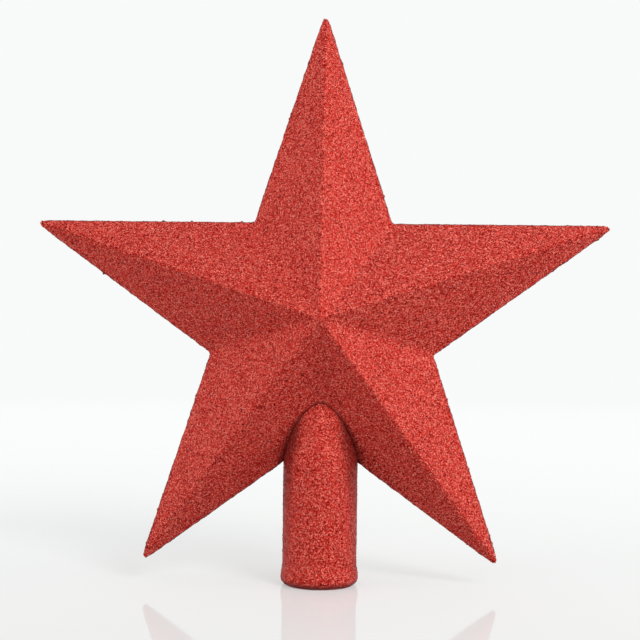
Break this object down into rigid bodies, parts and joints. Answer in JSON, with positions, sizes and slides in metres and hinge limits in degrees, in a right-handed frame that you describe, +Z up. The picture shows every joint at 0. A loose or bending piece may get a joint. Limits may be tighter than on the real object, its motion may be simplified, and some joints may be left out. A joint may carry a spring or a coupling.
{
  "type": "christmas tree topper star",
  "caption": "Hollow faceted star for the top of a Christmas tree, glued from moulded half shells, with a round mounting sleeve below and an all-over glitter coat.",
  "frame": {"origin": "centre of the sleeve's mouth, on the surface that the star stands on", "axes": "+Z up to the top point, +X to the right seen from the front, front facets face -Y"},
  "size_m": [0.2, 0.055, 0.1986],
  "materials": {
    "moulded_plastic": "smooth moulded red",
    "cement": "glittered cement, rough",
    "glitter": "red glitter in clear lacquer"
  },
  "bodies": {
    "root": {"front_shell": "moulded_plastic", "rear_shell": "moulded_plastic", "mounting_sleeve": "moulded_plastic", "seam_bead": "cement", "front_glitter_coat": "glitter", "rear_glitter_coat": "glitter", "sleeve_glitter_coat": "glitter"}
  },
  "joints": []
}
